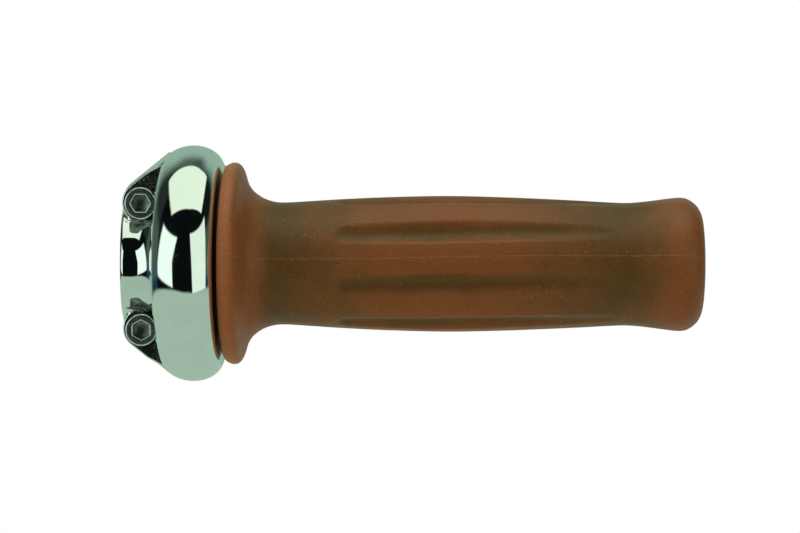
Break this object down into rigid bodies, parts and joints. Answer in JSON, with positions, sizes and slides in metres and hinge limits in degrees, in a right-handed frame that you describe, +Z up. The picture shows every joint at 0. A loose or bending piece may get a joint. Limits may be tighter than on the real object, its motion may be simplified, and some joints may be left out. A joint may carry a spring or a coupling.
{
  "type": "motorcycle throttle grip",
  "caption": "Twist-grip throttle for a handlebar end: a round chromed clamp housing with a cable drum inside, and a fluted gum-rubber grip on a turning tube.",
  "frame": {"origin": "on the handlebar's axis inside the clamp, 0.5 mm short of the plane of the two clamp screws", "axes": "+X along the handlebar towards the outer end of the grip, -Y towards the rider, +Z up; the grip opens by positive rotation about +X"},
  "size_m": [0.145, 0.0765, 0.059],
  "materials": {
    "chrome": "polished chrome plate over a casting, left rough on the screw pads",
    "screw_steel": "plated cap screws",
    "steel": "ground steel",
    "plated_steel": "bright plated, turned and knurled",
    "drum_metal": "die-cast and turned",
    "brass": "turned",
    "nylon": "natural nylon",
    "shoe_fibre": "pressed fibre",
    "seal_rubber": "black rubber",
    "tube_black": "black moulded tube",
    "grip_rubber": "translucent brown gum rubber, satin"
  },
  "bodies": {
    "housing": {"housing_front": "chrome", "housing_rear": "chrome", "clamp_screws": "screw_steel", "locating_dowels": "steel", "stop_pin": "steel", "inner_thrust_washer": "nylon", "outer_thrust_washer": "steel", "drum_bush": "brass", "dust_seal": "seal_rubber", "friction_locknut": "plated_steel", "cable_guide": "nylon", "adjuster_locknut": "plated_steel"},
    "twist_grip": {"grip_rubber": "grip_rubber", "throttle_tube": "tube_black", "cable_drum": "drum_metal", "drum_pins": "steel"},
    "friction_shoe_body": {"friction_shoe": "shoe_fibre"},
    "friction_screw_body": {"friction_screw": "plated_steel"},
    "cable_ferrule_body": {"cable_ferrule": "brass"},
    "cable_adjuster_body": {"cable_adjuster": "plated_steel"}
  },
  "joints": [
    {"name": "throttle_twist", "type": "hinge", "parent": "housing", "child": "twist_grip", "pos_m": [0.0123, 0, 0], "axis": [1, 0, 0], "range_deg": [0, 80]},
    {"name": "friction_shoe_slide", "type": "slide", "parent": "housing", "child": "friction_shoe_body", "axis": [0, 0.9063, -0.4226], "range_m": [0, 0.0012]},
    {"name": "friction_screw_turn", "type": "hinge", "parent": "friction_shoe_body", "child": "friction_screw_body", "pos_m": [0.0129, 0.02719, -0.01268], "axis": [0, 0.9063, -0.4226], "range_deg": [0, 540]},
    {"name": "ferrule_slide", "type": "slide", "parent": "housing", "child": "cable_ferrule_body", "axis": [0, 1, 0], "range_m": [0, 0.005]},
    {"name": "adjuster_turn", "type": "hinge", "parent": "cable_ferrule_body", "child": "cable_adjuster_body", "pos_m": [0.0123, 0.03, 0.0185], "axis": [0, 1, 0], "range_deg": [0, 1800]}
  ],
  "couplings": [
    {"joint": "friction_screw_turn", "follows": "friction_shoe_slide", "rad_per_m": 7854},
    {"joint": "adjuster_turn", "follows": "ferrule_slide", "rad_per_m": 6283.2}
  ]
}
